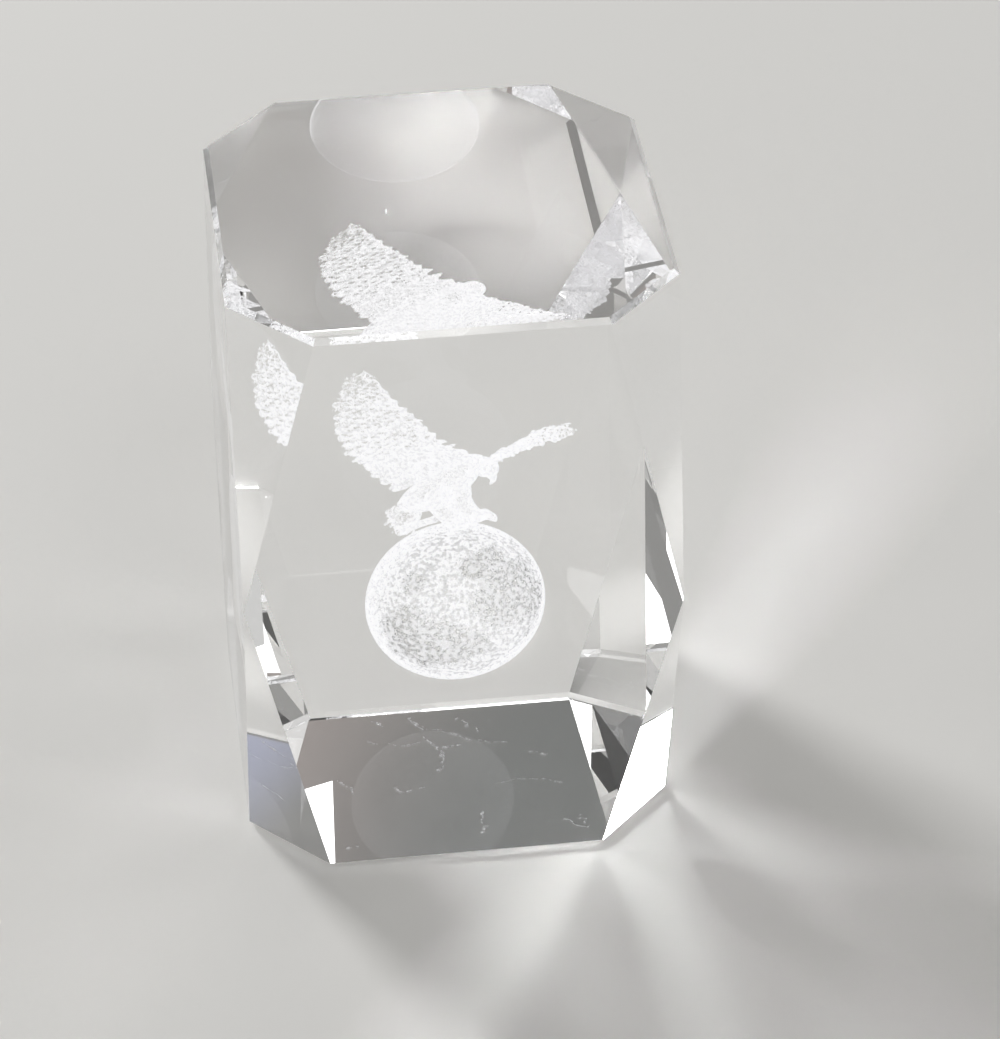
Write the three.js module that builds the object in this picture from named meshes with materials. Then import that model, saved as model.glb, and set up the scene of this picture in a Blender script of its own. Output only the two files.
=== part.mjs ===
// Laser engraved paperweight: one upright block of clear optical crystal, half as tall again as it is
// wide. Each upright edge carries a long tapering facet ground from the top and another from the foot,
// and the two run out to points that meet near half height. A small polished bevel runs round the top
// face and round the underside.
// Millimetres, +Z up, front towards -Y, origin at the middle of the underside.
import * as THREE from 'three';
import { ConvexGeometry } from 'three/addons/geometries/ConvexGeometry.js';

// Driving dimensions
const blockWidth = 50; // along X
const blockDepth = 50; // along Y
const blockHeight = 75; // along Z
const facetCut = 8.8; // how far a facet cuts back each of its two sides, at its wide end
const endBevel = 0.6; // polished bevel round the top face and round the underside

// The four upright edges, by the side of the block that each stands on. The facets are ground by hand,
// so the upper and lower one meet a little above (+) or below (-) half height.
const uprightEdges = [
  { x: 1, y: -1, meetingOffset: -1.5 }, // front right
  { x: 1, y: 1, meetingOffset: -0.5 }, // back right
  { x: -1, y: 1, meetingOffset: -1.9 }, // back left
  { x: -1, y: -1, meetingOffset: 1.5 }, // front left
];

// An end's outline with its sides set in by the same distance all round: the block's rectangle with
// each corner cut off at 45 degrees. A cut corner moves in along its own diagonal, so the cut's leg
// shortens by less than the sides do.
function endOutline(inset, height) {
  const halfWidth = blockWidth / 2 - inset;
  const halfDepth = blockDepth / 2 - inset;
  const leg = facetCut - inset * (2 - Math.SQRT2);
  return uprightEdges.flatMap(({ x, y }) => [
    new THREE.Vector3(x * halfWidth, y * (halfDepth - leg), height),
    new THREE.Vector3(x * (halfWidth - leg), y * halfDepth, height),
  ]);
}

// The points on the upright edges where the upper and lower facets run out and meet.
function meetingPoints() {
  return uprightEdges.map(({ x, y, meetingOffset }) => (
    new THREE.Vector3(x * blockWidth / 2, y * blockDepth / 2, blockHeight / 2 + meetingOffset)
  ));
}

// The block has no hollow side, so it is the hull of its own corners, from the foot up.
function crystalBlock() {
  const corners = [
    ...endOutline(endBevel, 0),
    ...endOutline(0, endBevel),
    ...meetingPoints(),
    ...endOutline(0, blockHeight - endBevel),
    ...endOutline(endBevel, blockHeight),
  ];
  const clearCrystal = new THREE.MeshStandardMaterial({
    color: 0xf4f7f6,
    roughness: 0.02,
    metalness: 0,
    transparent: true,
    opacity: 0.35,
  });
  const block = new THREE.Mesh(new ConvexGeometry(corners), clearCrystal);
  block.name = 'crystal_block';
  return block;
}

const paperweight = new THREE.Group();
paperweight.add(crystalBlock());

export default paperweight;
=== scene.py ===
# %% [markdown]
# # A laser engraved crystal paperweight
#
# The real object is one upright block of clear optical crystal, 50 x 50 x 75 mm, with long facets ground
# down its four edges. Inside it floats a picture in white: an eagle landing on a globe. Nothing was put
# into the crystal to make it. A pulsed laser is focused inside the block, and wherever it fires, the
# crystal bursts into a speck of tiny cracks about a tenth of a millimetre across. Here more than two
# hundred thousand such specks make up the picture.
#
# The block itself comes finished from the CAD frame. This lesson gives it its glass, lights it, and then
# builds the engraved picture speck by speck, in the same frame and in metres.

import math

import bpy
import numpy as np
from mathutils import Matrix, Vector


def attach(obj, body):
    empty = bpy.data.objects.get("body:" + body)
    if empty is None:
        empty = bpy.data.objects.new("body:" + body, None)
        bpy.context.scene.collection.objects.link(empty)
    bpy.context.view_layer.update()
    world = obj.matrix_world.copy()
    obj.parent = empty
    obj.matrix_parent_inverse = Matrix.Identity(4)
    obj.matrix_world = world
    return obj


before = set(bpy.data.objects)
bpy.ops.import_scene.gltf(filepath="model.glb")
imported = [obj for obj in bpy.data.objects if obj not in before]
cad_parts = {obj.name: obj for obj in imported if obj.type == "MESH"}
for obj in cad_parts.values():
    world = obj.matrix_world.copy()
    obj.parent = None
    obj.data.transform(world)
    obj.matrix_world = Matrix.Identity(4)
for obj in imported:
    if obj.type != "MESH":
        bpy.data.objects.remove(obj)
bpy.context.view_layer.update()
MM = 0.001

# %% [markdown]
# ## The camera
#
# The block is photographed from a little left of its front and from well above, so that three views of
# the engraving show at once: one through the front face, one through the top face, and a slim one
# through the upper left facet. Refraction makes these views very sensitive to the viewing angle, so
# the camera stands at a measured place: 504 mm from a point inside the block, looking down 37 degrees.

# %% Camera
IMAGE_SIDE = 1039
SENSOR_WIDTH = 36.0
camera_azimuth = math.radians(-7.39)
camera_elevation = math.radians(36.96)
camera_roll = math.radians(-0.06)
camera_distance = 503.7 * MM
focal_pixels = 4246.7
aim = Vector((7.19 * MM, 0, 30.29 * MM))

back = Vector((
    math.sin(camera_azimuth) * math.cos(camera_elevation),
    -math.cos(camera_azimuth) * math.cos(camera_elevation),
    math.sin(camera_elevation),
))
level_right = Vector((0, 0, 1)).cross(back).normalized()
level_up = back.cross(level_right)
camera_right = math.cos(camera_roll) * level_right + math.sin(camera_roll) * level_up
camera_up = math.cos(camera_roll) * level_up - math.sin(camera_roll) * level_right


def placed(x_axis, y_axis, z_axis, origin):
    """The 4 x 4 matrix that stands an object at origin with these three axes."""
    return Matrix((
        (x_axis.x, y_axis.x, z_axis.x, origin.x),
        (x_axis.y, y_axis.y, z_axis.y, origin.y),
        (x_axis.z, y_axis.z, z_axis.z, origin.z),
        (0, 0, 0, 1),
    ))


camera_data = bpy.data.cameras.new("camera")
camera_data.sensor_width = SENSOR_WIDTH
camera_data.lens = focal_pixels * SENSOR_WIDTH / IMAGE_SIDE
camera_data.clip_start = 0.01
camera_data.clip_end = 50
camera = bpy.data.objects.new("camera", camera_data)
camera.matrix_world = placed(camera_right, camera_up, back, aim + back * camera_distance)
scene = bpy.context.scene
scene.collection.objects.link(camera)
scene.camera = camera
print("lens, mm:", round(camera_data.lens, 1))

# %% [markdown]
# ## How light is followed
#
# A ray inside cut crystal bounces from face to face many times before it leaves, because the faces
# mirror it completely at slant angles. Forty bounces let it out again. The bright fans on the table
# beside the block are light that came through it, and they only show when the renderer neither blurs
# nor clamps such light.

# %% Light paths
GLASS_BOUNCES = 40
MATT_BOUNCES = 4
scene.view_settings.view_transform = "Standard"
scene.cycles.max_bounces = GLASS_BOUNCES
scene.cycles.glossy_bounces = GLASS_BOUNCES
scene.cycles.transmission_bounces = GLASS_BOUNCES
scene.cycles.diffuse_bounces = MATT_BOUNCES
scene.cycles.blur_glossy = 0
scene.cycles.sample_clamp_indirect = 0
print("bounces in the crystal:", GLASS_BOUNCES)

# %% [markdown]
# ## Materials by plain values
#
# A small helper makes a material and sets values on its main shader. It serves the table and the
# crystal. The engraved specks get a node material of their own further down.

# %% Material helper


def plain_material(name, values):
    """A new material whose main shader has these socket values."""
    material = bpy.data.materials.new(name)
    material.use_nodes = True
    shader = material.node_tree.nodes["Principled BSDF"]
    for socket, value in values.items():
        shader.inputs[socket].default_value = value
    return material


# %% [markdown]
# ## The table
#
# The block stands on a plain pale table top. Its underside is polished, and a hair of air stays between
# the two, so the table lies a fifth of a millimetre below the block. That gap matters: through it the
# underside acts as a mirror for anything seen at a slant.

# %% Table
TABLE_HALF = 3.0
TABLE_GAP = 0.2 * MM
table_mesh = bpy.data.meshes.new("table")
table_corners = [
    (-TABLE_HALF, -TABLE_HALF, -TABLE_GAP),
    (TABLE_HALF, -TABLE_HALF, -TABLE_GAP),
    (TABLE_HALF, TABLE_HALF, -TABLE_GAP),
    (-TABLE_HALF, TABLE_HALF, -TABLE_GAP),
]
table_mesh.from_pydata(table_corners, [], [(0, 1, 2, 3)])
table_mesh.materials.append(plain_material("pale_paper", {
    "Base Color": (0.80, 0.795, 0.775, 1),
    "Roughness": 0.9,
}))
table = bpy.data.objects.new("table", table_mesh)
scene.collection.objects.link(table)

# %% [markdown]
# ## The room
#
# Clear crystal has no colour of its own. Every grey in it is a piece of the room, seen by a bent ray, so
# the room needs a few bright and dark places. The world is a soft grey. Round patches are mixed into it,
# each given by its azimuth from the back towards the right, its elevation, its half width, all in
# degrees, and its colour. A patch is full out to about half its half width, and a quarter beyond its half
# width it is gone.

# %% Room brightness


def direction(azimuth, elevation):
    """Unit vector to a place in the room; azimuth runs from +Y towards +X."""
    a = math.radians(azimuth)
    e = math.radians(elevation)
    return Vector((math.sin(a) * math.cos(e), math.cos(a) * math.cos(e), math.sin(e)))


ROOM_GREY = (0.25, 0.248, 0.241)
PATCH_GONE = 1.25
PATCH_FULL = 0.55
ROOM_PATCHES = [
    (8, 39, 16, (0.34, 0.305, 0.29)),
    (11, 42, 5, (0.19, 0.195, 0.19)),
    (172, 38, 22, (0.05, 0.05, 0.05)),
    (-80, 72, 14, (0.20, 0.20, 0.20)),
    (40.2, 30, 3.2, (0.40, 0.42, 0.53)),
    (-92, 29, 5.5, (0.62, 0.62, 0.61)),
    (6, 5, 7, (0.75, 0.75, 0.73)),
    (100, 70, 20, (0.80, 0.79, 0.78)),
]

world = bpy.data.worlds.new("room")
world.use_nodes = True
scene.world = world
tree = world.node_tree
coordinate = tree.nodes.new("ShaderNodeTexCoord")
room_colour = tree.nodes.new("ShaderNodeRGB")
room_colour.outputs[0].default_value = (*ROOM_GREY, 1)
colour_so_far = room_colour.outputs[0]
for azimuth, elevation, half_width, colour in ROOM_PATCHES:
    nearness = tree.nodes.new("ShaderNodeVectorMath")
    nearness.operation = "DOT_PRODUCT"
    tree.links.new(coordinate.outputs["Generated"], nearness.inputs[0])
    nearness.inputs[1].default_value = direction(azimuth, elevation)
    share = tree.nodes.new("ShaderNodeMapRange")
    share.interpolation_type = "SMOOTHSTEP"
    share.inputs["From Min"].default_value = math.cos(math.radians(half_width * PATCH_GONE))
    share.inputs["From Max"].default_value = math.cos(math.radians(half_width * PATCH_FULL))
    tree.links.new(nearness.outputs["Value"], share.inputs["Value"])
    mix = tree.nodes.new("ShaderNodeMix")
    mix.data_type = "RGBA"
    tree.links.new(share.outputs["Result"], mix.inputs["Factor"])
    tree.links.new(colour_so_far, mix.inputs["A"])
    mix.inputs["B"].default_value = (*colour, 1)
    colour_so_far = mix.outputs["Result"]
tree.links.new(colour_so_far, tree.nodes["Background"].inputs["Color"])
print("room patches:", len(ROOM_PATCHES))

# %% [markdown]
# ## The lamps
#
# A fairly small soft box behind the block on the left is the key light. It throws the shadow and the
# bright fans towards the lower right. Wide, weak boxes stand for windows and fill. Each is given by its
# azimuth, elevation, width and height, and by the brightness that its face shows, because that is what is
# seen through the crystal. A narrow spot a metre away lays a soft pool of light on the table behind the
# block. The globe hides it from the front, but the upper left and lower right facets look round the globe
# and show it as white wedges.

# %% Lamps


def softbox(name, azimuth, elevation, width, height, brightness, distance=1.5, upright=False):
    """A rectangular area light that faces the block, or stands upright like a window."""
    out = direction(azimuth, elevation)
    place = out * distance
    if upright:
        out = direction(azimuth, 0)
    side = Vector((0, 0, 1)).cross(out).normalized()
    data = bpy.data.lights.new(name, "AREA")
    data.shape = "RECTANGLE"
    data.size = width
    data.size_y = height
    data.energy = brightness * width * height * math.pi
    lamp = bpy.data.objects.new(name, data)
    lamp.matrix_world = placed(side, out.cross(side), out, place)
    scene.collection.objects.link(lamp)


softbox("key_back_left", -33, 32, 0.30, 0.30, 38.0)
softbox("window_back", -18, 46.97, 0.957, 0.389, 2.4, distance=1.7586, upright=True)
softbox("ceiling_back", 12, 58, 0.40, 0.42, 1.4)
softbox("window_left", -91, 20, 0.36, 0.41, 1.6)
softbox("ceiling_left", -108, 72, 0.28, 0.28, 2.5)
softbox("fill_right", 85, 38, 0.35, 0.35, 3.0)
softbox("fill_front", 164, 56, 0.35, 0.35, 3.0)

POOL_CENTRE = Vector((5.3 * MM, 44.0 * MM, 0))
POOL_RADIUS = 12.5 * MM
POOL_ENERGY = 13
POOL_LAMP_RADIUS = 2 * MM
pool_data = bpy.data.lights.new("pool_behind", "SPOT")
pool_data.energy = POOL_ENERGY
pool_data.shadow_soft_size = POOL_LAMP_RADIUS
pool_data.spot_size = 2 * math.atan(POOL_RADIUS)
pool_data.spot_blend = 1.0
pool_lamp = bpy.data.objects.new("pool_behind", pool_data)
pool_way = direction(-10, 62)
pool_side = Vector((0, 0, 1)).cross(pool_way).normalized()
pool_lamp.matrix_world = placed(pool_side, pool_way.cross(pool_side), pool_way, POOL_CENTRE + pool_way)
scene.collection.objects.link(pool_lamp)
print("lamps:", len(bpy.data.lights))

# %% [markdown]
# ## The crystal
#
# Optical crystal of this kind is polished on every face and free of tint. One shader with plain values
# describes it: no roughness, full transmission, and the refractive index of crown glass, 1.517. That
# index alone places every reflection and every doubled view of the engraving.

# %% Crystal
crystal = plain_material("clear_crystal", {
    "Base Color": (1, 1, 1, 1),
    "Roughness": 0.0,
    "IOR": 1.517,
    "Transmission Weight": 1.0,
})
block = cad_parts["crystal_block"]
if block.data.materials:
    for slot in block.material_slots:
        slot.material = crystal
else:
    block.data.materials.append(crystal)
print("block faces:", len(block.data.polygons))

# %% [markdown]
# ## The white of a speck
#
# Each speck is a knot of cracks that scatters all light that reaches it, so it is bright, matt and white.
# Much of that light comes round through the glass, which a renderer finds only slowly, so most of the
# white is a painted glow given off by the material itself, in place of that scattered light, and the
# matt colour under it is a dark grey. A soft noise dims the glow of some knots of specks to a grey:
# painted shade for specks that get less light.
#
# The cracks of a speck run along the laser's path, which comes in steeply from above and behind. So a
# speck is a thin flake that stands upright along that path. It shows broadly from the front, the sides and
# the back, and almost vanishes for a ray that follows the laser's path. Its side that is turned down and to
# the left has its glow cut by up to half: painted shade, as if that side caught less light than the rest.

# %% Speck material
# Painted shade: the noise below dims the glow of some knots of specks to a grey.
NOISE_DARKEST = 0.38
NOISE_BRIGHTEST = 0.56
# Painted shade: faces turned this way, down and to the left, have their glow cut by up to half.
SHADE_FACING = (-0.72, 0.26, -0.64)
SHADE_FROM = 0.45
SHADE_TO = 0.85
SHADE_SHARE = 0.5
PAINTED_GLOW_TINT = (0.99, 0.99, 1.0, 1)
MATT_GREY = (0.12, 0.12, 0.13, 1)


def speck_material(name, cell, darkest, glow):
    """White for specks, most of it a painted glow; cell is the size in metres of its patches of painted
    shade, darkest their share of the glow.
    """
    material = bpy.data.materials.new(name)
    material.use_nodes = True
    nodes = material.node_tree.nodes
    links = material.node_tree.links
    shader = nodes["Principled BSDF"]
    place = nodes.new("ShaderNodeTexCoord")
    noise = nodes.new("ShaderNodeTexNoise")
    noise.inputs["Scale"].default_value = 1 / cell
    noise.inputs["Detail"].default_value = 1.0
    links.new(place.outputs["Object"], noise.inputs["Vector"])
    strength = nodes.new("ShaderNodeMapRange")
    strength.inputs["From Min"].default_value = NOISE_DARKEST
    strength.inputs["From Max"].default_value = NOISE_BRIGHTEST
    strength.inputs["To Min"].default_value = darkest * glow
    strength.inputs["To Max"].default_value = glow
    links.new(noise.outputs["Fac"], strength.inputs["Value"])
    turned = nodes.new("ShaderNodeVectorMath")
    turned.operation = "DOT_PRODUCT"
    links.new(place.outputs["Normal"], turned.inputs[0])
    turned.inputs[1].default_value = SHADE_FACING
    shade = nodes.new("ShaderNodeMapRange")
    shade.interpolation_type = "SMOOTHSTEP"
    shade.inputs["From Min"].default_value = SHADE_FROM
    shade.inputs["From Max"].default_value = SHADE_TO
    shade.inputs["To Min"].default_value = 1.0
    shade.inputs["To Max"].default_value = SHADE_SHARE
    links.new(turned.outputs["Value"], shade.inputs["Value"])
    white = nodes.new("ShaderNodeMath")
    white.operation = "MULTIPLY"
    links.new(strength.outputs["Result"], white.inputs[0])
    links.new(shade.outputs["Result"], white.inputs[1])
    # Emission gives most of the white: a painted glow in place of the light that the cracks scatter.
    links.new(white.outputs[0], shader.inputs["Emission Strength"])
    shader.inputs["Emission Color"].default_value = PAINTED_GLOW_TINT
    shader.inputs["Base Color"].default_value = MATT_GREY
    shader.inputs["Roughness"].default_value = 0.8
    material.cycles.emission_sampling = "NONE"
    return material


LAND_CELL = 0.53 * MM
SEA_CELL = 0.66 * MM
FEATHER_CELL = 0.40 * MM
rim_white = speck_material("etched_white_rim", LAND_CELL, darkest=0.90, glow=0.96)
land_white = speck_material("etched_white_land", LAND_CELL, darkest=0.64, glow=0.92)
sea_white = speck_material("etched_white_sea", SEA_CELL, darkest=0.22, glow=0.78)
feather_white = speck_material("etched_white_feathers", FEATHER_CELL, darkest=0.83, glow=0.94)
scuff_haze = speck_material("scuffed_haze", FEATHER_CELL, darkest=0.5, glow=0.45)
speck_whites = (rim_white, land_white, sea_white, feather_white, scuff_haze)
print("speck materials:", [white.name for white in speck_whites])

# %% [markdown]
# ## A tree that engraves a surface
#
# An engraver's program starts from the skin of a 3-D model and scatters specks over it, thickly where
# the picture is bright and thinly where it is dark. The node tree below does the same. It reads how
# dense the specks should be from an attribute named "etch" on the skin, breaks that up with a speckle,
# scatters points, and puts a tiny flake on each one. A flake is a tetrahedron laid on one of its edges and
# pressed flat, so it has four faces in all. The flakes fan out round the laser's path and differ in size,
# both at random from a fixed seed, so every run gives the same picture.

# %% Engraving tree
SPECKLE_LOW = 0.40
SPECKLE_HIGH = 0.54
FLAKE_FLATNESS = 0.05
FLAKE_FAN = 0.87
FLAKE_JITTER = 0.03
FLAKE_SMALLEST = 0.70
FLAKE_LARGEST = 1.25
CRACK_TILT = math.radians(34)
EDGE_AXIS_ANGLE = math.atan(math.sqrt(2))

engraving = bpy.data.node_groups.new("engrave_surface", "GeometryNodeTree")
engraving.interface.new_socket("Geometry", in_out="INPUT", socket_type="NodeSocketGeometry")
for label, kind in (
    ("Specks per mm2", "NodeSocketFloat"),
    ("Speck Size mm", "NodeSocketFloat"),
    ("Speckle Cell mm", "NodeSocketFloat"),
    ("Speckle Depth", "NodeSocketFloat"),
    ("Seed", "NodeSocketInt"),
    ("Material", "NodeSocketMaterial"),
):
    engraving.interface.new_socket(label, in_out="INPUT", socket_type=kind)
engraving.interface.new_socket("Geometry", in_out="OUTPUT", socket_type="NodeSocketGeometry")


def add_node(kind, **settings):
    """A node of the engraving tree, with its settings."""
    node = engraving.nodes.new(kind)
    for setting, value in settings.items():
        setattr(node, setting, value)
    return node


def join(output, socket):
    """Link an output of one node to an input of another."""
    engraving.links.new(output, socket)


def calculate(operation, first, second):
    """A maths node; each operand is an output of another node or a number."""
    node = add_node("ShaderNodeMath", operation=operation)
    for socket, operand in zip(node.inputs, (first, second)):
        if isinstance(operand, (int, float)):
            socket.default_value = operand
        else:
            join(operand, socket)
    return node.outputs[0]


group_in = add_node("NodeGroupInput")
group_out = add_node("NodeGroupOutput")
etch = add_node("GeometryNodeInputNamedAttribute", data_type="FLOAT")
etch.inputs["Name"].default_value = "etch"
speckle = add_node("ShaderNodeTexNoise")
speckle.inputs["Detail"].default_value = 1.0
join(calculate("DIVIDE", 1000.0, group_in.outputs["Speckle Cell mm"]), speckle.inputs["Scale"])
speckle_share = add_node("ShaderNodeMapRange")
speckle_share.inputs["From Min"].default_value = SPECKLE_LOW
speckle_share.inputs["From Max"].default_value = SPECKLE_HIGH
speckle_share.inputs["To Max"].default_value = 1.0
join(speckle.outputs["Fac"], speckle_share.inputs["Value"])
join(calculate("SUBTRACT", 1.0, group_in.outputs["Speckle Depth"]), speckle_share.inputs["To Min"])
etched = calculate("MULTIPLY", etch.outputs["Attribute"], speckle_share.outputs["Result"])
per_square_metre = calculate("MULTIPLY", group_in.outputs["Specks per mm2"], 1.0e6)

scatter = add_node("GeometryNodeDistributePointsOnFaces", distribute_method="RANDOM")
join(group_in.outputs["Geometry"], scatter.inputs["Mesh"])
join(calculate("MULTIPLY", etched, per_square_metre), scatter.inputs["Density"])
join(group_in.outputs["Seed"], scatter.inputs["Seed"])

flake = add_node("GeometryNodeMeshCone")
flake.inputs["Vertices"].default_value = 3
flake_radius = calculate("MULTIPLY", group_in.outputs["Speck Size mm"], 0.001 * 0.5)
join(flake_radius, flake.inputs["Radius Bottom"])
join(calculate("MULTIPLY", flake_radius, math.sqrt(2)), flake.inputs["Depth"])
on_edge = add_node("GeometryNodeTransform")
join(flake.outputs["Mesh"], on_edge.inputs["Geometry"])
on_edge.inputs["Rotation"].default_value = (0, -EDGE_AXIS_ANGLE, 0)
flatten = add_node("GeometryNodeTransform")
join(on_edge.outputs["Geometry"], flatten.inputs["Geometry"])
flatten.inputs["Scale"].default_value = (1, 1, FLAKE_FLATNESS)
flatten.inputs["Rotation"].default_value = (0, math.pi / 2, 0)

turn = add_node("FunctionNodeRandomValue", data_type="FLOAT_VECTOR")
turn.inputs["Min"].default_value = (0, -FLAKE_JITTER, math.pi / 2 - FLAKE_FAN)
turn.inputs["Max"].default_value = (2 * math.pi, FLAKE_JITTER, math.pi / 2 + FLAKE_FAN)
join(group_in.outputs["Seed"], turn.inputs["Seed"])
lean = add_node("FunctionNodeRotateRotation", rotation_space="GLOBAL")
join(turn.outputs[0], lean.inputs["Rotation"])
lean.inputs["Rotate By"].default_value = (-CRACK_TILT, 0, 0)
size = add_node("FunctionNodeRandomValue", data_type="FLOAT")
size.inputs[2].default_value = FLAKE_SMALLEST
size.inputs[3].default_value = FLAKE_LARGEST
join(group_in.outputs["Seed"], size.inputs["Seed"])

place_flakes = add_node("GeometryNodeInstanceOnPoints")
join(scatter.outputs["Points"], place_flakes.inputs["Points"])
join(flatten.outputs["Geometry"], place_flakes.inputs["Instance"])
join(lean.outputs["Rotation"], place_flakes.inputs["Rotation"])
join(size.outputs[1], place_flakes.inputs["Scale"])
realize = add_node("GeometryNodeRealizeInstances")
join(place_flakes.outputs["Instances"], realize.inputs["Geometry"])
give_material = add_node("GeometryNodeSetMaterial")
join(realize.outputs["Geometry"], give_material.inputs["Geometry"])
join(group_in.outputs["Material"], give_material.inputs["Material"])
join(give_material.outputs["Geometry"], group_out.inputs["Geometry"])
engraving_sockets = {
    item.name: item.identifier
    for item in engraving.interface.items_tree
    if item.in_out == "INPUT"
}
print("engraving inputs:", sorted(engraving_sockets))

# %% [markdown]
# ## From skin to specks
#
# A skin is a grid of points with an etch value at each. The helper joins the skins of one piece into a
# hidden mesh, runs the tree on it, and keeps only the flakes, as a plain mesh. It aims at a chosen
# number of specks, since that is how an engraver budgets the laser's time. A full-depth speckle leaves
# out a bit under half of them, which the density makes up for.

# %% Engrave helper
SPECKLE_LOSS = 0.45


def skin_faces(rows, columns, closed):
    """Quads between neighbouring points of a grid; closed joins the last column to the first."""
    faces = []
    across = columns if closed else columns - 1
    for row in range(rows - 1):
        for column in range(across):
            following = (column + 1) % columns
            faces.append((
                row * columns + column,
                row * columns + following,
                (row + 1) * columns + following,
                (row + 1) * columns + column,
            ))
    return faces


def engrave(name, skins, specks, speck_size, cell, depth, seed, material):
    """Make the piece: flakes scattered over skins, a list of (points in mm, etch, closed).

    The speck size is in mm; cell is the size of the speckle in metres and depth is its strength.
    """
    points = []
    etches = []
    faces = []
    for grid, etch_values, closed in skins:
        start = sum(len(part) for part in points)
        rows, columns = grid.shape[:2]
        points.append(grid.reshape(-1, 3))
        etches.append(np.broadcast_to(etch_values, (rows, columns)).reshape(-1))
        faces += [tuple(start + corner for corner in face) for face in skin_faces(rows, columns, closed)]
    skin_mesh = bpy.data.meshes.new(name + "_skin")
    skin_mesh.from_pydata((np.vstack(points) * MM).tolist(), [], faces)
    attribute = skin_mesh.attributes.new("etch", "FLOAT", "POINT")
    etch_list = np.concatenate(etches).astype(np.float32)
    attribute.data.foreach_set("value", etch_list)
    area = sum(
        face.area * sum(etch_list[corner] for corner in face.vertices) / len(face.vertices)
        for face in skin_mesh.polygons
    ) / MM ** 2
    skin = bpy.data.objects.new(name + "_skin", skin_mesh)
    scene.collection.objects.link(skin)
    modifier = skin.modifiers.new("engrave", "NODES")
    modifier.node_group = engraving
    modifier[engraving_sockets["Specks per mm2"]] = specks / (area * (1 - SPECKLE_LOSS * depth))
    modifier[engraving_sockets["Speck Size mm"]] = speck_size
    modifier[engraving_sockets["Speckle Cell mm"]] = cell / MM
    modifier[engraving_sockets["Speckle Depth"]] = depth
    modifier[engraving_sockets["Seed"]] = seed
    modifier[engraving_sockets["Material"]] = material
    evaluated = skin.evaluated_get(bpy.context.evaluated_depsgraph_get())
    mesh = bpy.data.meshes.new_from_object(evaluated)
    mesh.name = name
    piece = bpy.data.objects.new(name, mesh)
    scene.collection.objects.link(piece)
    bpy.data.objects.remove(skin)
    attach(piece, "root")
    print(name, "etched mm2:", round(area, 1), "specks:", len(mesh.vertices) // 4)


# %% [markdown]
# ## The globe
#
# The globe is a hollow skin of specks, 21 mm across. A skin seen edge-on is crowded, which is why its rim
# glows. The rim is also etched as a band of its own, wider at the bottom and much wider at the upper left;
# the extra width at the upper left is a painted highlight from the key light at the back left. Land is
# etched densely and sea thinly with an open, cell-like speckle, so the far side shows through the seas.
# The side turned to the viewer has a broad land mass from the upper left to the middle, a large sea on the
# right and a smaller one at the lower left. Each sea is an ellipse on the disc that the viewer sees, by its
# centre and its half sizes in globe radii. Soft noise makes up coastlines and the lands on the far side.
# No real map is followed.

# %% Globe
GLOBE_CENTRE = np.array([0.5, 0.0, 27.1])
GLOBE_RADIUS = 10.5
GLOBE_ROWS = 150
GLOBE_COLUMNS = 300
to_viewer = np.array([-0.06, -0.915, 0.40])
to_viewer /= np.linalg.norm(to_viewer)
view_right = np.cross([0, 0, 1], to_viewer)
view_right /= np.linalg.norm(view_right)
view_up = np.cross(to_viewer, view_right)


def smooth(value, low, high):
    """0 below low, 1 above high, and a soft step between."""
    t = np.clip((value - low) / (high - low), 0, 1)
    return t * t * (3 - 2 * t)


def waves(points, length, seed, count=24):
    """Soft noise, mostly from -1 to 1, at points in mm: a sum of plane waves of about this length."""
    rng = np.random.default_rng(seed)
    total = np.zeros(points.shape[:-1])
    for _ in range(count):
        heading = rng.normal(size=3)
        heading /= np.linalg.norm(heading)
        stretch = rng.uniform(0.7, 1.5)
        total += np.sin(2 * np.pi * stretch * (points @ heading) / length + rng.uniform(0, 2 * np.pi))
    return total / math.sqrt(count / 2) / 2


polar = np.linspace(0, np.pi, GLOBE_ROWS)[:, None]
around = np.linspace(0, 2 * np.pi, GLOBE_COLUMNS, endpoint=False)[None, :]
globe_normals = np.stack([
    np.sin(polar) * np.cos(around),
    np.sin(polar) * np.sin(around),
    np.cos(polar) * np.ones_like(around),
], axis=-1)
globe_points = GLOBE_CENTRE + GLOBE_RADIUS * globe_normals
seen_x = globe_normals @ view_right
seen_y = globe_normals @ view_up
facing = globe_normals @ to_viewer

SEAS = [
    (0.58, 0.06, 0.42, 0.52),
    (0.34, 0.42, 0.30, 0.22),
    (-0.22, -0.52, 0.60, 0.27),
    (-0.60, -0.24, 0.27, 0.22),
    (-0.46, 0.24, 0.14, 0.13),
]
coast = 0.22 * waves(globe_points, 5.0, 3)
front_sea = np.zeros_like(seen_x)
for x, y, half_width, half_height in SEAS:
    reach = np.hypot((seen_x - x) / half_width, (seen_y - y) / half_height)
    front_sea = np.maximum(front_sea, 1 - smooth(reach + coast, 0.75, 1.15))
far_sea = smooth(waves(globe_points, 17.0, 8), -0.25, 0.0)
sea = np.where(facing > 0, front_sea, far_sea)
sea_share = (sea * np.sin(polar)).mean() / np.sin(polar).mean()
print("share of the globe that is sea:", round(float(sea_share), 2))

seen_radius = np.hypot(seen_x, seen_y)
near_side = facing > -0.1
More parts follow.
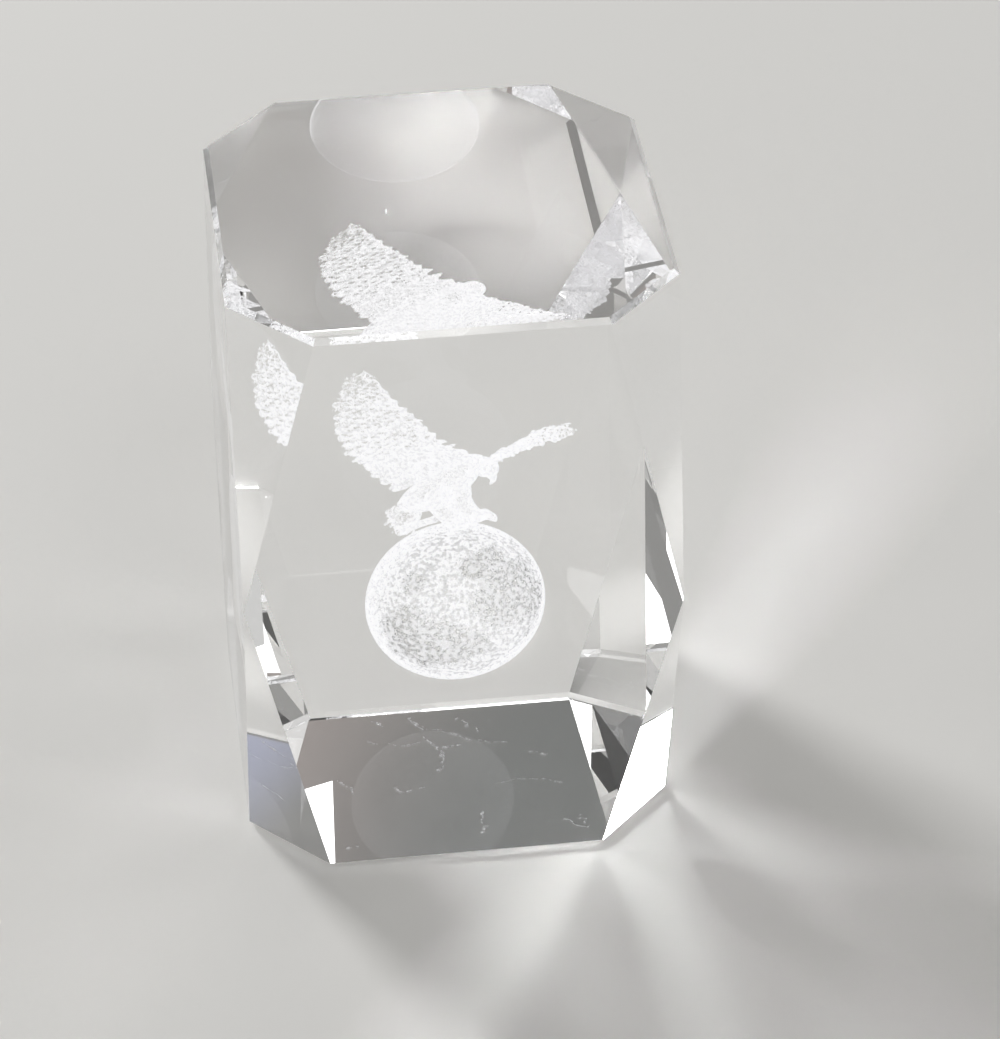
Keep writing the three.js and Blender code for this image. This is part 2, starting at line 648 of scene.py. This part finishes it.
# The rim band widens at the bottom and much more at the upper left; the upper-left widening is a painted
# highlight from the key light.
rim_width = (
    0.03
    + 0.05 * smooth(-seen_y, -0.2, 0.8)
    + 0.15 * smooth(-seen_x * 0.80 + seen_y * 0.60, -0.10, 0.80)
)
rim_width = rim_width * (1 + 0.25 * waves(globe_points, 4.0, 9))
rim = smooth(seen_radius, 1 - 1.3 * rim_width, 1 - 0.6 * rim_width) * near_side
far_thin = np.where(near_side, 1.0, 0.40)
land_etch = (1 - sea) * far_thin * (1 - 0.7 * rim)
sea_etch = sea * far_thin * (1 - rim)
engrave("globe_rim", [(globe_points, rim, True)],
        specks=22000, speck_size=0.17, cell=LAND_CELL, depth=0.10, seed=18, material=rim_white)
engrave("globe_lands", [(globe_points, land_etch, True)],
        specks=47000, speck_size=0.175, cell=LAND_CELL, depth=0.52, seed=11, material=land_white)
engrave("globe_seas", [(globe_points, sea_etch, True)],
        specks=26000, speck_size=0.15, cell=SEA_CELL, depth=0.88, seed=12, material=sea_white)

# %% [markdown]
# ## The wings
#
# The eagle flies away from the viewer and to the right, wings raised in a V. Each wing is one curved
# sheet between a smooth front edge and a rear edge of feather tips. Curves through a few measured points
# give the two edges, and the sheet bulges upwards between them. Every flight feather ends in a rounded
# tip that stands a millimetre proud, and the longest ones part like fingers at the wing tip.
#
# What tells one feather from the next is where the laser did not fire. Short dark slots lie between
# the feathers in staggered rows, each pointing along its feather, and they fade towards the body. The
# sheet is ruffled a little, and its outer edges crumble. Sizes are in mm.

# %% Wing helper
SPAN_POINTS = 240
CHORD_POINTS = 130
RAGGED_EDGE = 0.045
RUFFLE = 0.20
SLOT_HALF_LENGTH = (0.35, 0.70)
SLOT_HALF_WIDTH = (0.16, 0.24)
SLOT_DEPTH = (0.70, 1.0)
CRUMBLE_CELL = 0.9
CRUMBLE_WIDTH = 0.5


def curve(knots, steps):
    """Smooth line of that many points through knots, which are evenly spaced along it."""
    knots = np.asarray(knots, dtype=float)
    padded = np.vstack([2 * knots[0] - knots[1], knots, 2 * knots[-1] - knots[-2]])
    t = np.linspace(0, len(knots) - 1, steps)
    i = np.minimum(t.astype(int), len(knots) - 2)
    u = (t - i)[:, None]
    a, b, c, d = padded[i], padded[i + 1], padded[i + 2], padded[i + 3]
    return 0.5 * (2 * b + (c - a) * u + (2 * a - 5 * b + 4 * c - d) * u ** 2
                  + (3 * b - a - 3 * c + d) * u ** 3)


def crumbled(points, to_edge, seed):
    """Share of the specks that stay, from none at a crumbling edge to all of them further in."""
    return smooth(0.8 * waves(points, CRUMBLE_CELL, seed) + to_edge / CRUMBLE_WIDTH, 0.15, 0.6)


def wing_skin(front_knots, rear_knots, bulge, feathers, slots_along, slot_rows, tip_depth, seed):
    """Sheet from the front edge to the feather tips, with slots left out of its etch."""
    rng = np.random.default_rng(seed)
    front = curve(front_knots, SPAN_POINTS)
    rear = curve(rear_knots, SPAN_POINTS)
    along = np.linspace(0, 1, SPAN_POINTS)
    feather = along * feathers
    within = 2 * (feather - np.floor(feather)) - 1
    tip_reach = rng.uniform(0.0, 0.7 * tip_depth, feathers + 1)[np.floor(feather).astype(int)]
    tip_reach = tip_reach - tip_depth * np.abs(within) ** 2.5
    ragged = RAGGED_EDGE * waves(front, 1.2, seed + 1)
    back_share = np.linspace(0, 1, CHORD_POINTS)[:, None]
    share = ragged[None, :] * (1 - back_share) + back_share * (1 + tip_reach[None, :])
    points = front[None] + (rear - front)[None] * share[..., None]
    across = np.gradient(front, axis=0)
    upward = np.cross(across, rear - front)
    upward /= np.linalg.norm(upward, axis=1)[:, None]
    upward *= np.sign(upward[:, 2])[:, None]
    ruffle = RUFFLE * waves(points, 1.4, seed + 4)
    points = points + upward[None] * (bulge * 4 * share * (1 - share) + ruffle)[..., None]
    etch_values = np.ones((CHORD_POINTS, SPAN_POINTS))
    fade = smooth(along, 0.02, 0.40)
    headings = (rear - front) / np.linalg.norm(rear - front, axis=1)[:, None]
    for row in range(slot_rows):
        for number in range(slots_along + 1):
            at = (number + 0.5 * (row % 2) + rng.uniform(-0.20, 0.20)) / slots_along
            if at > 0.99:
                continue
            column = int(at * (SPAN_POINTS - 1))
            down = 0.08 + 0.92 * (row + rng.uniform(0.2, 0.8)) / slot_rows
            line = min(int(down * (CHORD_POINTS - 1)), CHORD_POINTS - 1)
            gap = points - points[line, column]
            forward = gap @ headings[column]
            sideways = np.sqrt(np.maximum((gap ** 2).sum(axis=-1) - forward ** 2, 0))
            half_length = rng.uniform(*SLOT_HALF_LENGTH)
            half_width = rng.uniform(*SLOT_HALF_WIDTH)
            depth = rng.uniform(*SLOT_DEPTH) * fade[column]
            etch_values *= 1 - depth * np.exp(-(forward / half_length) ** 4 - (sideways / half_width) ** 4)
    feather_gap = (np.abs(within) > 0.84)[None, :] & (back_share > 0.95)
    etch_values = np.where(feather_gap, etch_values * 0.5, etch_values)
    reach_mm = np.linalg.norm(rear - front, axis=1)[None, :]
    span_mm = np.linalg.norm(np.diff(front, axis=0), axis=1).sum()
    to_long_edge = np.minimum(back_share, 1 - back_share) * reach_mm
    to_edge = np.minimum(to_long_edge, (1 - along)[None, :] * span_mm)
    return points, etch_values * crumbled(points, to_edge, seed + 3), False


# %% [markdown]
# The left wing is spread flat towards the viewer. The right wing is turned so far that its sheet is seen
# almost edge-on, as a slim band that widens to the parted tip feathers.

# %% Wings
left_front = [
    (3.7, 2.3, 46.3), (1.4, 3.4, 47.6), (-0.4, 4.8, 48.1), (-2.2, 5.8, 49.9), (-3.8, 7.2, 51.4),
    (-5.9, 8.9, 53.1), (-7.3, 9.7, 54.8), (-8.7, 10.2, 56.2),
]
left_rear = [
    (-6.2, -3.7, 45.0), (-9.3, -2.6, 47.5), (-11.7, 0.7, 49.1), (-12.8, 3.4, 51.1),
    (-12.9, 4.4, 53.4), (-12.3, 5.4, 55.4), (-11.3, 7.0, 57.0),
]
right_front = [
    (3.9, 2.0, 45.6), (5.7, -0.5, 46.8), (7.7, -3.2, 49.0), (9.9, -6.0, 51.0),
    (11.8, -8.0, 52.3), (13.0, -9.4, 53.3), (13.8, -10.4, 54.0),
]
right_rear = [
    (0.5, -5.2, 45.5), (4.6, -7.6, 50.9), (6.6, -10.0, 53.1), (8.6, -11.8, 55.2),
    (10.6, -12.6, 56.3), (12.2, -12.3, 56.4), (13.1, -11.6, 55.8),
]
left_wing = wing_skin(left_front, left_rear, bulge=0.5, feathers=17,
                      slots_along=26, slot_rows=9, tip_depth=0.045, seed=21)
right_wing = wing_skin(right_front, right_rear, bulge=0.4, feathers=11,
                       slots_along=20, slot_rows=6, tip_depth=0.20, seed=22)
engrave("eagle_left_wing", [left_wing],
        specks=48000, speck_size=0.13, cell=FEATHER_CELL, depth=0.15, seed=13, material=feather_white)
engrave("eagle_right_wing", [right_wing],
        specks=33000, speck_size=0.13, cell=FEATHER_CELL, depth=0.20, seed=14, material=feather_white)

# %% [markdown]
# ## Body, head, tail and legs
#
# The rest of the bird is a few tapering tubes: a spindle from the neck to the rump, a rounded head with
# a hooked beak, feathered thighs, and feet whose claws grip the top of the globe. The tail is a short
# fan. All of it is etched so densely that it reads as solid white, apart from soft darker lines along
# the flank and between the tail feathers.

# %% Tube helper


def tube(knots, radii, steps=60, sides=36):
    """Round tube along a smooth line; radii in mm at the knots, (across, up) or one number."""
    line = curve(knots, steps)
    pairs = [(r, r) if np.isscalar(r) else r for r in radii]
    size_along = curve([(a, b, 0) for a, b in pairs], steps)[:, :2]
    size_along = np.maximum(size_along, 0.02)
    heading = np.gradient(line, axis=0)
    heading /= np.linalg.norm(heading, axis=1)[:, None]
    sideways = np.cross(heading, [0, 0, 1.0])
    sideways /= np.maximum(np.linalg.norm(sideways, axis=1)[:, None], 1e-6)
    upward = np.cross(sideways, heading)
    angle = np.linspace(0, 2 * np.pi, sides, endpoint=False)
    ring = (np.cos(angle)[None, :, None] * sideways[:, None] * size_along[:, 0][:, None, None]
            + np.sin(angle)[None, :, None] * upward[:, None] * size_along[:, 1][:, None, None])
    return line[:, None] + ring


# %% Body and head
body = tube(
    [
        (3.9, 2.3, 46.0), (2.4, 1.2, 45.8), (0.2, -0.8, 44.9),
        (-2.2, -2.8, 44.2), (-4.3, -4.2, 43.8), (-5.8, -5.3, 43.6),
    ],
    [(0.8, 0.8), (1.6, 1.6), (2.2, 2.1), (2.3, 2.1), (1.8, 1.5), (0.9, 0.6)],
)
flank = 0.34 * smooth(np.abs(waves(body * np.array([1, 1, 2.2]), 3.2, 31)), 0.35, 0.8)
head = tube(
    [(3.0, 1.6, 45.6), (3.9, 2.1, 45.3), (4.7, 2.5, 44.7), (5.0, 2.7, 44.0), (5.1, 2.8, 43.4)],
    [(0.9, 0.9), (1.25, 1.25), (1.25, 1.2), (0.75, 0.8), (0.3, 0.4)],
    steps=30,
)
beak = tube(
    [(4.9, 2.7, 43.9), (5.2, 2.85, 43.4), (5.2, 2.9, 42.8), (4.8, 2.8, 42.3)],
    [(0.55, 0.6), (0.42, 0.5), (0.26, 0.3), (0.03, 0.03)],
    steps=20,
    sides=16,
)

# %% Tail
FAN_HALF = 0.42
TAIL_FEATHERS = 9
fan_angle = np.linspace(-FAN_HALF, FAN_HALF, 90)[None, :]
fan_out = np.linspace(0, 1, 50)[:, None]
fan_side = fan_angle / FAN_HALF
tail_root = np.array([-3.8, -3.8, 44.0])
tail_back = np.array([-0.62, -0.52, -0.59])
tail_back /= np.linalg.norm(tail_back)
tail_side = np.array([0.73, -0.61, -0.30])
tail_hollow = np.cross(tail_side, tail_back)
tail_feather = (fan_side + 1) / 2 * TAIL_FEATHERS
tail_within = 2 * (tail_feather - np.floor(tail_feather)) - 1
tail_ragged = 1 + 0.04 * np.sin(14 * fan_side + 1) + 0.03 * np.sin(25 * fan_side)
tail_length = (5.3 + 0.5 * fan_side) * (1 - 0.05 * tail_within ** 2)
tail_length = tail_length * (1 - 0.20 * fan_side ** 2) * tail_ragged
tail_out = fan_out * tail_length
tail_across = tail_out * np.sin(fan_angle) + 1.1 * fan_side * (1 - 0.2 * fan_out)
tail_arch = 0.9 * np.sin(np.pi * fan_out) * (1 - fan_side ** 2)
tail_points = (
    tail_root
    + (tail_out * np.cos(fan_angle))[..., None] * tail_back
    + tail_across[..., None] * tail_side
    + tail_arch[..., None] * tail_hollow
)
tail_slots = smooth(np.abs(tail_within), 0.72, 0.98) * smooth(fan_out, 0.55, 0.8)
tail_shade = np.exp(-((fan_side + 0.1) / 0.40) ** 2 - ((fan_out - 0.55) / 0.22) ** 2)
tail_edge = np.minimum((1 - np.abs(fan_side)) * 2.4, (1 - fan_out) * 5)
tail_etch = 1.5 * np.clip(1 - 0.5 * tail_slots - 0.65 * tail_shade, 0.08, 1)
tail_etch = tail_etch * crumbled(tail_points, tail_edge, 77)
under_feathers = tube(
    [(-6.4, -6.6, 40.7), (-4.7, -5.2, 40.7), (-3.2, -4.0, 40.6), (-1.7, -2.6, 40.4)],
    [0.6, 0.5, 0.4, 0.45],
    steps=30,
    sides=16,
)

# %% Legs and claws
FORWARD = np.array([0.75, 0.66, 0])
RIGHTWARD = np.array([0.66, -0.75, 0])
CLAWS = ((-50, 1.8), (-12, 2.1), (26, 1.9), (165, 1.3))
legs = []
for hip, knee, ankle, foot, lift in (
    ((0.6, -0.4, 43.6), (0.9, 0.1, 41.8), (1.9, 0.3, 40.2), (3.3, 0.5, 38.8), 1.2),
    ((-1.6, -2.0, 43.4), (-0.9, -1.7, 41.8), (0.0, -1.4, 39.9), (0.7, -1.0, 38.6), 0),
):
    legs.append(tube([hip, knee, ankle, foot], [(1.8, 1.7), (1.7, 1.6), (1.3, 1.2), (0.8, 0.8)], steps=30))
    foot = np.array(foot)
    for turn_degrees, length in CLAWS:
        a = math.radians(turn_degrees)
        out = math.cos(a) * FORWARD + math.sin(a) * RIGHTWARD
        reach = foot + out * length
        from_axis = ((reach - GLOBE_CENTRE)[:2] ** 2).sum()
        top = GLOBE_CENTRE[2] + math.sqrt(max(GLOBE_RADIUS ** 2 - from_axis, 0))
        claw_tip = np.array([*(foot + out * (length + 0.25))[:2], top + 0.05 + lift])
        knuckle = foot + out * length * 0.55 + np.array([0, 0, 0.10])
        reach[2] = top + 0.60 + lift
        legs.append(tube([foot, knuckle, reach, claw_tip], [0.65, 0.58, 0.45, 0.05], steps=16, sides=12))

bird_skins = [
    (body, 1 - flank, True),
    (head, 1.0, True),
    (beak, 1.0, True),
    (tail_points, tail_etch, False),
    (under_feathers, 0.8, True),
]
bird_skins += [(leg, 0.8, True) for leg in legs]
engrave("eagle_body", bird_skins,
        specks=48000, speck_size=0.14, cell=FEATHER_CELL, depth=0.30, seed=15, material=feather_white)

# %% [markdown]
# ## Wear and a stray speck
#
# The underside has slid over many tables. Its scuffs are seen from inside, through the front face, as
# thin whitish wisps on a dark mirror. Each is a narrow wavy strip of sparse specks just above the
# underside, through a few points of the underside in mm, with its strength. One larger speck hangs by
# itself under the top face, where the laser or the casting left a bubble.

# %% Scuffs and stray speck
SCUFF_LEVEL = 0.10
SCUFFS = [
    ([(-8.5, 21.5), (-7.5, 20.8), (-6.6, 18.5)], 0.7),
    ([(-3.7, 21.7), (-2.6, 16.2), (-1.3, 11.6), (1.8, 10.9)], 0.8),
    ([(-4.5, 20.5), (-0.5, 16.5), (3.5, 12.8), (7.5, 10.5)], 0.35),
    ([(1.8, 20.4), (3.2, 17.5), (4.3, 15.5)], 0.8),
    ([(-1.4, 11.6), (-0.6, 7.9), (-1.5, 3.3)], 1.0),
    ([(-7.4, -1.1), (-5.7, -2.6), (-3.7, -1.7)], 0.7),
    ([(-14.2, 3.4), (-11.5, -2.4)], 0.5),
    ([(-10.0, 15.5), (-6.0, 13.0), (-2.5, 13.5)], 0.25),
    ([(9.2, 7.8), (12.4, 5.2)], 0.7),
    ([(4.0, -3.0), (9.0, -1.5), (13.0, -4.0)], 0.2),
    ([(2.8, -10.9), (2.5, -18.5)], 0.6),
    ([(12.3, -15.7), (14.6, -19.0), (14.2, -15.3)], 0.4),
    ([(-16.1, 10.6), (-15.2, 9.6)], 0.8),
    ([(-14.3, -19.5), (-11.9, -19.2)], 0.9),
]
scuff_skins = []
for number, (knots, strength) in enumerate(SCUFFS):
    line = curve([(x, y, SCUFF_LEVEL) for x, y in knots], 60)
    line[:, 0] += 0.35 * waves(line, 2.2, 50 + number)
    line[:, 1] += 0.60 * waves(line, 3.1, 70 + number)
    ahead = np.gradient(line, axis=0)
    beside = np.stack([-ahead[:, 1], ahead[:, 0], np.zeros(len(line))], axis=1)
    beside /= np.linalg.norm(beside, axis=1)[:, None]
    half_width = 0.06 + 0.25 * smooth(waves(line, 2.3, 90 + number), -0.2, 0.8)
    strip = line[None] + np.linspace(-1, 1, 5)[:, None, None] * (beside * half_width[:, None])[None]
    wear = strength * smooth(waves(line, 0.9, 40 + number), -0.4, 0.7) * (0.06 / half_width) ** 0.5
    scuff_skins.append((strip, wear[None, :], False))
engrave("underside_scuffs", scuff_skins,
        specks=2400, speck_size=0.075, cell=FEATHER_CELL, depth=0.60, seed=16, material=scuff_haze)

bubble = tube(
    [(-5.6, 0.3, 72.9), (-5.6, 0.3, 73.8), (-5.6, 0.3, 74.6)],
    [0.10, 0.44, 0.10],
    steps=16,
    sides=12,
)
engrave("stray_speck", [(bubble, 1.0, True)],
        specks=900, speck_size=0.15, cell=FEATHER_CELL, depth=0.0, seed=17, material=feather_white)
